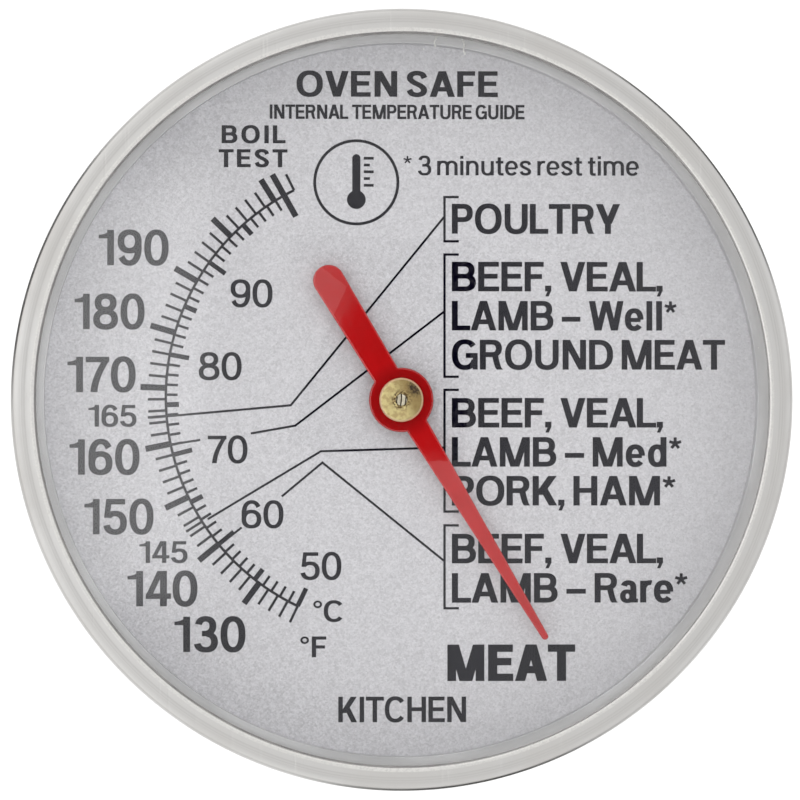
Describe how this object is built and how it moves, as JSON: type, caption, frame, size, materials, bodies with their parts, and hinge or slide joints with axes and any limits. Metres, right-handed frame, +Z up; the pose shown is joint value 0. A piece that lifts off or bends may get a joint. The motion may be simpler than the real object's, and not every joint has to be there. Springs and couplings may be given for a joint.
{
  "type": "dial meat thermometer",
  "caption": "Bimetal meat thermometer: a probe stem with a hexagon collar carries a round glazed dial whose pointer turns as the stem warms.",
  "frame": {"origin": "the point of the stem, which is pushed into the food", "axes": "+Z up the stem's axis to the dial, which faces +Z; +Y towards twelve o'clock on the dial; +X towards three o'clock"},
  "size_m": [0.051, 0.051, 0.1289],
  "materials": {
    "satin_steel": "satin stainless",
    "drawn_steel": "drawn stainless sheet",
    "spring_steel": "tempered spring steel",
    "bimetal": "rolled bimetal strip",
    "brass": "turned and tarnished",
    "glass": "clear flat window",
    "silver_paint": "metallic silver paint, fine sparkle",
    "red_paint": "gloss red",
    "silicone": "matte",
    "white_polymer": "fluoropolymer"
  },
  "bodies": {
    "stem": {"stem_tube": "satin_steel", "stem_tip": "satin_steel", "hex_collar": "satin_steel", "seal_washer": "white_polymer", "flat_washer": "spring_steel", "wave_spring": "spring_steel", "retaining_ring": "spring_steel", "upper_bearing": "brass", "middle_guide": "white_polymer", "lower_guide": "white_polymer", "coil_anchor": "brass"},
    "head": {"case": "drawn_steel", "bezel_ring": "satin_steel", "lens": "glass", "lens_gasket": "silicone", "dial_plate": "silver_paint", "spacer_ring": "satin_steel"},
    "pointer": {"bimetal_coil": "bimetal", "coil_hub": "brass", "pointer_shaft": "satin_steel", "pointer_hub": "brass", "pointer_hand": "red_paint"}
  },
  "joints": [
    {"name": "calibration_turn", "type": "hinge", "parent": "stem", "child": "head", "pos_m": [0, 0, 0.1189], "axis": [0, 0, 1], "continuous": true},
    {"name": "pointer_turn", "type": "hinge", "parent": "stem", "child": "pointer", "pos_m": [0, 0, 0.1245], "axis": [0, 0, -1], "range_deg": [-68, 190], "stiffness_Nm_per_rad": 0.00016}
  ]
}
